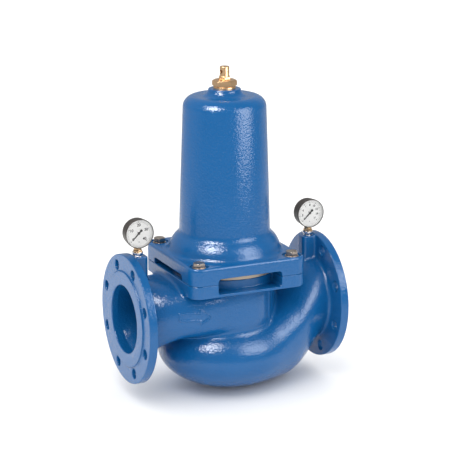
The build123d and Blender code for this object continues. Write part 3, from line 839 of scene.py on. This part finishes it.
# Hexagon and head of the spindle, with a hole through the head for a bar
SPINDLE_HEX_Z = 512.8
SPINDLE_HEX_HALF_HEIGHT = 3.2
SPINDLE_HEX_FLATS = 24.0
SPINDLE_HEX_TURN = math.radians(8)
HEAD_R = 10.3
BAR_HOLE_R = 4.0
BAR_HOLE_Z = 527.0
BAR_HOLE_TURN = math.radians(13)
# Hole through the spindle for the thrust collar's pin
PIN_R = 2.5
PIN_Z = 455.0


def spindle(x, y, z):
    """Threaded spindle with a hexagon, a round head and a cross hole."""
    r = np.hypot(x, y)
    turn = np.arctan2(y, x)
    tooth = np.abs((z / THREAD_LEAD - turn / (2 * math.pi)) % 1 - 0.5) * THREAD_LEAD
    groove = THREAD_DEPTH * np.clip((tooth - 0.5) / THREAD_DEPTH, 0, 1) * (z < THREAD_END_Z)
    shank = np.maximum(r - SPINDLE_R + groove, np.maximum(SPINDLE_FOOT_Z - z, z - 512))
    sixth = math.pi / 3
    folded = (turn - SPINDLE_HEX_TURN) % sixth - sixth / 2
    flats = r * np.cos(folded) - SPINDLE_HEX_FLATS / 2
    flats = rounded(flats, np.abs(z - SPINDLE_HEX_Z) - SPINDLE_HEX_HALF_HEIGHT, 0.6)
    head = cylinder(x, y, z, HEAD_R, 514, SPINDLE_TOP_Z, 1.5)
    d = np.minimum(shank, join(flats, head, 1.0))
    across = -x * math.sin(BAR_HOLE_TURN) + y * math.cos(BAR_HOLE_TURN)
    d = cut(d, np.hypot(across, z - BAR_HOLE_Z) - BAR_HOLE_R, 1.0)
    return np.maximum(d, PIN_R - np.hypot(y, z - PIN_Z))


spindle_low, spindle_high = box_mm("adjusting_spindle")
rod = formed("spindle", spindle, spindle_low, spindle_high, 0.6, 60000)
finished(rod, "brass", "spindle", "adjusting_spindle")

BUSH_FLATS = 46.8
BUSH_TURN = 33.75
BUSH_TOP_Z = span_mm("spindle_bush", Z)[1]
COLLAR_R = 24.2
# Groove for the spindle's O-ring
GROOVE_R = 11.7
GROOVE_FOOT_Z = 478.6
GROOVE_TOP_Z = 481.4
bore = SPINDLE_R + GAP
bush = [(bore, ROOF_Z), (BUSH_R, ROOF_Z), (BUSH_R, BOSS_TOP_Z), (COLLAR_R, BOSS_TOP_Z), (COLLAR_R, 494.5)]
bush += hex_top(BUSH_FLATS, BUSH_TURN, 494.8, -1)[::-1] + hex_top(BUSH_FLATS, BUSH_TURN, BUSH_TOP_Z)
bush += [(14, BUSH_TOP_Z), (12.5, BUSH_TOP_Z - 0.8), (bore, BUSH_TOP_Z - 0.8), (bore, GROOVE_TOP_Z)]
bush += [(GROOVE_R, GROOVE_TOP_Z), (GROOVE_R, GROOVE_FOOT_Z), (bore, GROOVE_FOOT_Z)]
finished(turned("bush", bush, 0.5), "brass", "housing", "spindle_bush")


# ---------------------------------------------------------------- spring and diaphragm

SPRING_R = 67.0
WIRE_R = 8.0
SPRING_LOW = 91.05
SPRING_HIGH = 433.95
SPRING_MIDDLE = (SPRING_LOW + SPRING_HIGH) / 2
WIRE_SIDES = 20
STEPS_PER_COIL = 72
COILS = 4.75


def spring_half(name, upper):
    """Half of the spring, with its outer coil closed and ground flat.
    """
    sides = WIRE_SIDES
    count = int(COILS * STEPS_PER_COIL)
    travelled = np.linspace(0, COILS, count + 1)
    open_pitch = (SPRING_MIDDLE - SPRING_LOW - 2 * WIRE_R) / (COILS - 1)
    rise = np.where(travelled < 1, WIRE_R * travelled ** 2, WIRE_R + (travelled - 1) * open_pitch)
    height = SPRING_LOW + 0.5 * WIRE_R + rise * (SPRING_MIDDLE - SPRING_LOW - 0.5 * WIRE_R) / rise[-1]
    turn = 2 * math.pi * (travelled - COILS)
    section = 2 * math.pi * np.arange(sides) / sides
    radius = SPRING_R + WIRE_R * np.cos(section)[None, :] * np.ones((count + 1, 1))
    z = np.maximum(height[:, None] + WIRE_R * np.sin(section)[None, :], SPRING_LOW)
    if upper:
        z = 2 * SPRING_MIDDLE - z
        turn = -turn
    across, along = radius * np.cos(turn)[:, None], radius * np.sin(turn)[:, None]
    points = np.stack((across, along, z), -1).reshape(-1, 3)
    ring_index, side = np.meshgrid(np.arange(count), np.arange(sides), indexing="ij")
    here = ring_index * sides
    quads = np.stack(
        (here + side, here + (side + 1) % sides, here + sides + (side + 1) % sides, here + sides + side), -1
    ).reshape(-1, 4)
    half = add_object(name, mesh_from(name, to_metres(points), quads))
    work = bmesh.new()
    work.from_mesh(half.data)
    work.verts.ensure_lookup_table()
    for first in (0, count * sides):
        work.faces.new([work.verts[first + index] for index in range(sides)])
    bmesh.ops.recalc_face_normals(work, faces=work.faces)
    work.to_mesh(half.data)
    work.free()
    half.data.shade_smooth()
    half.data.set_sharp_from_angle(angle=math.radians(40))
    finished(half, "spring_steel", "housing", "adjusting_spring")
    tuple(to_metres((0, 0, SPRING_MIDDLE)))
    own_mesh(half)


spring_half("spring_lower", False)
spring_half("spring_upper", True)

STEM_BORE_R = 11.05
SKIN_R = 115.0
SKIN_LOW = 78.0
SKIN_T = 3.0
SKIN_HIGH = 106.0
under = [(STEM_BORE_R, SKIN_LOW), (72, SKIN_LOW), (76, 80.5), (87, 101), (92, 103), (SKIN_R, 103)]
over = [(SKIN_R, SKIN_HIGH), (89, SKIN_HIGH), (83.5, 103), (74, 83.5), (70, 81), (STEM_BORE_R, 81)]
skin = turned("diaphragm_skin", under + over, 2 * [0.3, 3, 2, 2, 3, 0.3])
finished(skin, "rubber", "housing", "diaphragm")
clamped = tuple(to_metres((0, 0, SKIN_HIGH - SKIN_T / 2)))
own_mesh(skin)


# ---------------------------------------------------------------- pressure gauges

FIGURE_T = 0.02
FIGURE_SPREAD = 0.25
# Faces and edges of a gauge, as y; the dial looks towards -Y
BACK_Y = 15.0
DIAL_Y = -8.6
MARK_T = 0.08
HAND_FRONT_Y = -9.9
HAND_BACK_Y = -9.4
LENS_FRONT_Y = -13.5
LENS_BACK_Y = -11.5
RIM_FRONT_Y = -15.0
CAN_R = 31.2
RIM_R = 32.5
# The scale runs clockwise from its start, in degrees from +X
SCALE_START = 225
SCALE_SWEEP = 270
SCALE_R = 26.6
FIGURE_R = 18.3
# Chrome adapter in the body's boss, and the brass shoulder on it
ADAPTER_TOP_Z = 149.0
ADAPTER_FLATS = 19.0
ADAPTER_TURN = 26.25
SHOULDER_FLATS = 18.4
SHOULDER_TURN = 11.25
SEAL_TOP_Z = 140.5
SEAL_R = 10.9


def figures(size, places):
    """Numbers on a dial as thin flat meshes; each place is (text, x, y, z) in millimetres."""
    things = []
    for text, x, y, z in places:
        curve = bpy.data.curves.new("figure", "FONT")
        curve.body = text
        curve.size = size * MM
        curve.align_x = "CENTER"
        curve.align_y = "CENTER"
        curve.extrude = FIGURE_T * MM
        curve.offset = FIGURE_SPREAD * MM
        thing = add_object("figure", curve)
        bpy.context.view_layer.update()
        mesh = bpy.data.meshes.new_from_object(thing.evaluated_get(bpy.context.evaluated_depsgraph_get()))
        bpy.data.objects.remove(thing)
        upright = Matrix.Rotation(math.pi / 2, 4, "X")
        mesh.transform(Matrix.Translation(Vector(to_metres((x, y, z)))) @ upright)
        things.append(add_object("figure", mesh))
    return things


def dial_point(radius, degrees, x):
    """Place on the dial of a gauge that stands at x, as x and z."""
    angle = math.radians(degrees)
    return x + radius * math.cos(angle), GAUGE_Z + radius * math.sin(angle)


def bar(points, front, back):
    """Thin plate parallel to the dial, from its outline in x and z."""
    count = len(points)
    corners = [(x, front, z) for x, z in points] + [(x, back, z) for x, z in points]
    mesh = bpy.data.meshes.new("bar")
    sides = [(i, (i + 1) % count, count + (i + 1) % count, count + i) for i in range(count)]
    faces = [tuple(range(count)), tuple(range(2 * count - 1, count - 1, -1))] + sides
    mesh.from_pydata([tuple(to_metres(corner)) for corner in corners], [], faces)
    clean(mesh)
    return add_object("bar", mesh)


def tick(x, degrees, inner, width):
    """Line of a scale, from the radius inner to the scale's own."""
    across = math.radians(degrees + 90)
    corners = []
    for radius, side in ((inner, -1), (SCALE_R, -1), (SCALE_R, 1), (inner, 1)):
        px, pz = dial_point(radius, degrees, x)
        corners.append((px + side * width / 2 * math.cos(across), pz + side * width / 2 * math.sin(across)))
    return bar(corners, DIAL_Y - MARK_T, DIAL_Y)


def gauge_shell(prefix, centre):
    """Case, rim, window and dial plate of a gauge."""
    outline = [(0, 13), (28.5, 13), (28.5, -7.9), (CAN_R, -7.9)]
    outline += [(CAN_R, 9), (29.5, 13.5), (25, BACK_Y), (0, BACK_Y)]
    can = turned(prefix + "_can", outline, [0, 0.3, 0.2, 0.2, 1.5, 2.5, 2, 0], centre, True)
    finished(can, "gauge_case", "housing", prefix + "_case")
    outline = [(30.9, -13.6), (30.9, -14.6), (CAN_R, RIM_FRONT_Y), (31.8, RIM_FRONT_Y)]
    outline += [(RIM_R, -14), (RIM_R, -6.2), (31.3, -6.2), (31.3, -13.5)]
    rim = turned(prefix + "_rim", outline, [0.1, 0.2, 0.2, 0.3, 0.5, 0.3, 0.1, 0.1], centre, True)
    finished(rim, "gauge_case", "housing", prefix + "_bezel")
    outline = [(0, LENS_FRONT_Y), (CAN_R, LENS_FRONT_Y), (CAN_R, LENS_BACK_Y), (0, LENS_BACK_Y)]
    window = turned(prefix + "_window", outline, 0.2, centre, True)
    finished(window, "glass", "housing", prefix + "_lens")
    outline = [(1.5, DIAL_Y), (28.3, DIAL_Y), (30.6, -11.4), (31.1, -11.4), (31.1, -8), (1.5, -8)]
    face = turned(prefix + "_face", outline, 0.1, centre, True)
    finished(face, "dial_white", "housing", prefix + "_dial")


def gauge_scale(prefix, x, top, numbered, ticks, figure_size):
    """Lines and figures of a scale from 0 to top."""
    marks = []
    for index in range(ticks + 1):
        degrees = SCALE_START - SCALE_SWEEP * index / ticks
        major = index * top % (ticks * numbered) == 0
        marks.append(tick(x, degrees, 22.6 if major else 24.2, 0.9 if major else 0.4))
    places = []
    for value in range(0, top + 1, numbered):
        px, pz = dial_point(FIGURE_R, SCALE_START - SCALE_SWEEP * value / top, x)
        places.append((str(value), px, DIAL_Y - FIGURE_T, pz))
    marks += figures(figure_size, places)
    finished(joined(prefix + "_marks", marks), "pointer_black", "housing")


def gauge_hand(prefix, x, centre):
    """Pointer at the scale's start, with a round tail, on its hub."""
    outline = [(2, -1.5), (19.2, -0.8), (20.2, 0), (19.2, 0.8), (2, 1.5), (-5.4, 1.4)]
    for angle in np.radians(np.arange(40, 321, 28)):
        outline.append((-7.6 + 2.9 * math.cos(angle), 2.9 * math.sin(angle)))
    outline += [(-5.4, -1.4)]
    start = math.radians(SCALE_START)
    turned_outline = [
        (x + u * math.cos(start) - v * math.sin(start), GAUGE_Z + u * math.sin(start) + v * math.cos(start))
        for u, v in outline
    ]
    hub_outline = [(0, -10.9), (2.7, -10.7), (2.8, -9.3), (0.82, -9.3), (0.82, -10.5), (0, -10.5)]
    hub = turned("hub", hub_outline, 0.2, centre, True)
    hand = joined(prefix + "_hand_piece", [bar(turned_outline, HAND_FRONT_Y, HAND_BACK_Y), hub])
    finished(hand, "pointer_black", prefix + "_hand", prefix + "_pointer")


def gauge_foot(prefix, foot):
    """Adapter, shoulder and seal that carry a gauge on the body's boss."""
    flats = hexagon(ADAPTER_FLATS, ADAPTER_TURN)
    adapter = [(4.95, ADAPTER_TOP_Z), (4.95, 137), (2, 137), (2, 124.5), (6.55, 124.5), (6.55, SEAL_TOP_Z)]
    adapter += hex_top(ADAPTER_FLATS, ADAPTER_TURN, SEAL_TOP_Z, -1)[::-1]
    adapter += [(flats, 144.8), (11.7, 145.4), (12, 146), (12, ADAPTER_TOP_Z)]
    finished(turned(prefix + "_chrome", adapter, 0.3, foot), "chrome", "housing", prefix + "_adapter")
    flats = hexagon(SHOULDER_FLATS, SHOULDER_TURN)
    shoulder = [(6.9, ADAPTER_TOP_Z), (flats, ADAPTER_TOP_Z), (flats, 152.6)]
    shoulder += [(8.2, 154), (8.2, 160), (6.9, 160)]
    finished(turned(prefix + "_shoulder", shoulder, 0.3, foot), "brass", "housing")
    seal = [(6.65, GAUGE_BOSS_Z), (SEAL_R, GAUGE_BOSS_Z), (SEAL_R, SEAL_TOP_Z), (6.65, SEAL_TOP_Z)]
    finished(turned(prefix + "_seal", seal, 0.3, foot), "chrome", "housing", prefix + "_washer")


def gauge(prefix, x, top, numbered, ticks, figure_size):
    """Outside of one pressure gauge at x, with a dial from 0 to top."""
    centre = (x, 0, GAUGE_Z)
    gauge_shell(prefix, centre)
    gauge_scale(prefix, x, top, numbered, ticks, figure_size)
    gauge_hand(prefix, x, centre)
    gauge_foot(prefix, (x, 0, 0))


gauge("inlet_gauge", -GAUGE_X, 40, 10, 40, 8.5)
gauge("outlet_gauge", GAUGE_X, 16, 2, 32, 6.5)


# ---------------------------------------------------------------- CAD nodes kept as they are

slot_of = {part["node"]: part["material_slot"] for part in frame["record"]["subparts"]}
dull_brass = finish_of("dull_brass", (0.44, 0.37, 0.29), 0.6, 0.42, 0.0001, 0.002)
for name, node in frame["nodes"].items():
    if node.hide_render:
        continue
    node.data.materials.clear()
    node.data.materials.append(dull_brass if name == "guide_plate" else FINISHES[slot_of[name]])


# ---------------------------------------------------------------- floor, light and camera

SPINDLE_X = HALF_LENGTH * MM


def soft_light(name, bearing, distance, height, aim, shape, width, tall, radiance, reaches):
    """Area light at a bearing in degrees and a distance from the spindle, aimed at a height on it.

    reaches says whether it lights surfaces and whether it shows in reflections. Lengths are in metres.
    """
    lamp = bpy.data.lights.new(name, "AREA")
    lamp.shape = shape
    lamp.size = width
    lamp.size_y = tall
    area = width * tall * (math.pi / 4 if shape == "ELLIPSE" else 1)
    lamp.energy = radiance * math.pi * area
    thing = add_object(name, lamp)
    angle = math.radians(bearing)
    place = Vector((SPINDLE_X + distance * math.cos(angle), distance * math.sin(angle), height))
    thing.location = place
    thing.rotation_mode = "QUATERNION"
    thing.rotation_quaternion = (Vector((SPINDLE_X, 0, aim)) - place).to_track_quat("-Z", "Y")
    thing.visible_camera = False
    thing.visible_diffuse, thing.visible_glossy = reaches


def floor_finish(color, far_reflected):
    """Matt white floor. Reflections see it go dark a way off, most of all in front, like a table's end."""
    material = bpy.data.materials.new("floor_white")
    material.use_nodes = True
    tree = material.node_tree
    path = tree.nodes.new("ShaderNodeLightPath")
    place = tree.nodes.new("ShaderNodeNewGeometry")
    distance = tree.nodes.new("ShaderNodeVectorMath")
    distance.operation = "DISTANCE"
    distance.inputs[1].default_value = (SPINDLE_X, 0, 0)
    tree.links.new(place.outputs["Position"], distance.inputs[0])
    fade = tree.nodes.new("ShaderNodeMapRange")
    fade.inputs["From Min"].default_value = 1.3
    fade.inputs["From Max"].default_value = 2.0
    tree.links.new(distance.outputs["Value"], fade.inputs["Value"])
    parts = tree.nodes.new("ShaderNodeSeparateXYZ")
    tree.links.new(place.outputs["Position"], parts.inputs["Vector"])
    front = tree.nodes.new("ShaderNodeMapRange")
    front.inputs["From Min"].default_value = 0.4
    front.inputs["From Max"].default_value = -0.4
    front.inputs["To Min"].default_value = 0.7
    tree.links.new(parts.outputs["Y"], front.inputs["Value"])
    product = path.outputs["Is Glossy Ray"]
    for factor in (fade, front):
        both = tree.nodes.new("ShaderNodeMath")
        both.operation = "MULTIPLY"
        tree.links.new(product, both.inputs[0])
        tree.links.new(factor.outputs["Result"], both.inputs[1])
        product = both.outputs["Value"]
    mix = tree.nodes.new("ShaderNodeMix")
    mix.data_type = "RGBA"
    mix.inputs["A"].default_value = (color, color, color, 1)
    mix.inputs["B"].default_value = (far_reflected, far_reflected, far_reflected, 1)
    tree.links.new(product, mix.inputs["Factor"])
    shader = tree.nodes["Principled BSDF"]
    tree.links.new(mix.outputs["Result"], shader.inputs["Base Color"])
    shader.inputs["Roughness"].default_value = 0.9
    return material


# The bowl's mesh dips a little below the CAD's
FLOOR_Z = BODY_LOW[Z] * MM - 0.0015
FLOOR_CORNERS = [(-8, -8, FLOOR_Z), (9, -8, FLOOR_Z), (9, 9, FLOOR_Z), (-8, 9, FLOOR_Z)]
floor = add_object("floor", mesh_from("floor", FLOOR_CORNERS, [(0, 1, 2, 3)]))
floor.data.materials.append(floor_finish(0.97, 0.2))


def studio_world(seen, diffuse, front, rear):
    """White surroundings with their own strength for the camera, diffuse light and reflections.

    Reflections see a bright backdrop behind the valve and a darker room in front of it.
    """
    world = bpy.data.worlds.new("studio")
    world.use_nodes = True
    tree = world.node_tree
    path = tree.nodes.new("ShaderNodeLightPath")
    direction = tree.nodes.new("ShaderNodeTexCoord")
    parts = tree.nodes.new("ShaderNodeSeparateXYZ")
    tree.links.new(direction.outputs["Generated"], parts.inputs["Vector"])
    reflected = tree.nodes.new("ShaderNodeMapRange")
    reflected.inputs["From Min"].default_value = 0.0
    reflected.inputs["From Max"].default_value = 0.5
    reflected.inputs["To Min"].default_value = front
    reflected.inputs["To Max"].default_value = rear
    tree.links.new(parts.outputs["Y"], reflected.inputs["Value"])
    glossy = tree.nodes.new("ShaderNodeMix")
    glossy.inputs["A"].default_value = diffuse
    tree.links.new(path.outputs["Is Glossy Ray"], glossy.inputs["Factor"])
    tree.links.new(reflected.outputs["Result"], glossy.inputs["B"])
    camera_ray = tree.nodes.new("ShaderNodeMix")
    camera_ray.inputs["B"].default_value = seen
    tree.links.new(path.outputs["Is Camera Ray"], camera_ray.inputs["Factor"])
    tree.links.new(glossy.outputs["Result"], camera_ray.inputs["A"])
    background = tree.nodes["Background"]
    tree.links.new(camera_ray.outputs["Result"], background.inputs["Strength"])
    background.inputs["Color"].default_value = (1, 1, 1, 1)
    bpy.context.scene.world = world


studio_world(1.0, 1.32, 0.2, 0.45)
bpy.context.scene.view_settings.view_transform = "Standard"

# The two lights close to the valve only make highlights; the far one above it only lights it
soft_light("left_umbrella", -150, 0.8, 1.08, 0.2, "ELLIPSE", 0.6, 0.6, 26, (False, True))
soft_light("right_box", -61, 0.75, 0.58, 0.45, "RECTANGLE", 0.5, 0.66, 6.5, (False, True))
soft_light("key_box", -120, 1.6, 2.2, 0.1, "RECTANGLE", 1.2, 1.2, 2.4, (True, False))

AZIMUTH = math.radians(-24.61)
ELEVATION = math.radians(15.23)
lens = bpy.data.cameras.new("camera")
lens.sensor_width = 36
lens.lens = 138.70
camera = add_object("camera", lens)
camera.location = (-1.2905, -3.3438, 1.1859)
right = Vector((math.cos(AZIMUTH), math.sin(AZIMUTH), 0))
back = Vector(
    (math.sin(AZIMUTH) * math.cos(ELEVATION), -math.cos(AZIMUTH) * math.cos(ELEVATION), math.sin(ELEVATION))
)
camera.rotation_mode = "QUATERNION"
camera.rotation_quaternion = Matrix((right, back.cross(right), back)).transposed().to_quaternion()
bpy.context.scene.camera = camera
